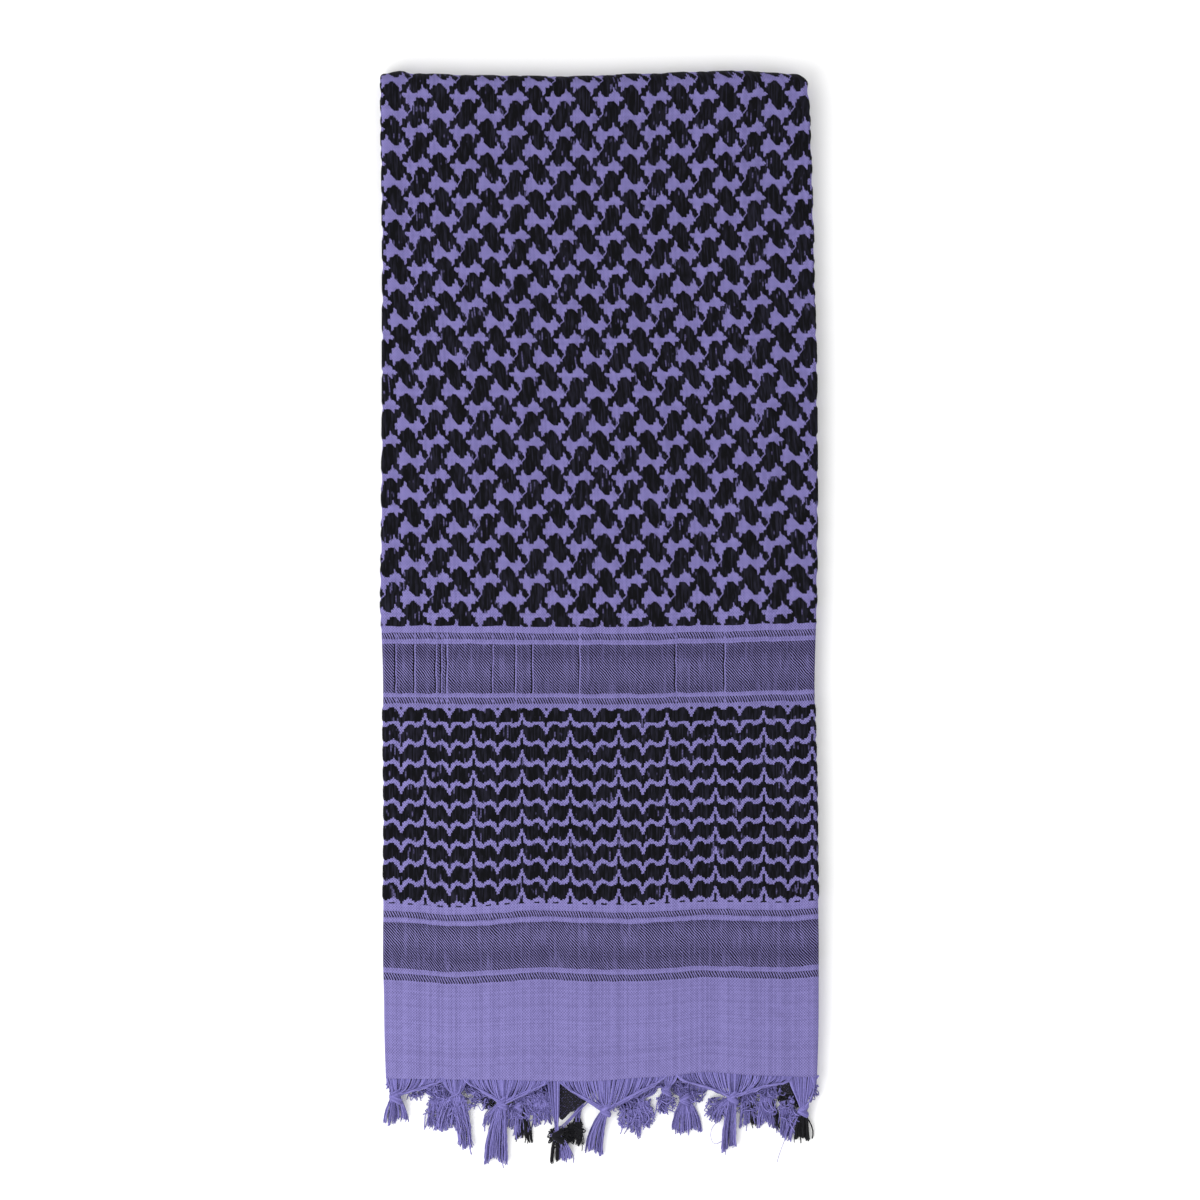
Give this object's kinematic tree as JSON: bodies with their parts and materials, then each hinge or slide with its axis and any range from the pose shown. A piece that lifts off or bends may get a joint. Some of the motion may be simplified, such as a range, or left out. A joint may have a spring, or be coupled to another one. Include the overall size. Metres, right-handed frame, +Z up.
{
  "type": "folded keffiyeh headscarf",
  "caption": "Square cotton keffiyeh in lilac and black, with net, leaf and checked bands and knotted fringes, folded into a flat oblong and laid down.",
  "frame": {"origin": "middle of the base, on the surface that the folded cloth lies on", "axes": "+Z up through the pile, +Y from the fringed hems to the top fold, +X to the right as it is seen from above"},
  "size_m": [0.2292, 0.574, 0.014],
  "materials": {
    "cloth_face": "lilac cotton ground with raised black yarn floats, matt",
    "cloth_reverse": "reverse of the same cotton, mostly black yarn, matt",
    "fringe_lilac": "loose and knotted lilac cotton warp ends",
    "fringe_black": "loose and knotted black cotton warp ends"
  },
  "bodies": {
    "root": {"front_panel": "cloth_face", "back_panel": "cloth_face", "folded_layers": "cloth_face", "second_hem": "cloth_reverse", "tassel_front_1": "fringe_lilac", "tassel_front_2": "fringe_lilac", "tassel_front_3": "fringe_lilac", "tassel_front_4": "fringe_black", "tassel_front_5": "fringe_lilac", "tassel_front_6": "fringe_lilac", "tassel_front_7": "fringe_lilac", "tassel_front_8": "fringe_black", "tassel_back_1": "fringe_lilac", "tassel_back_2": "fringe_lilac", "tassel_back_3": "fringe_lilac", "tassel_back_4": "fringe_black", "tassel_back_5": "fringe_lilac", "tassel_back_6": "fringe_lilac", "tassel_back_7": "fringe_lilac", "tassel_back_8": "fringe_lilac", "tassel_back_9": "fringe_lilac"}
  },
  "joints": []
}
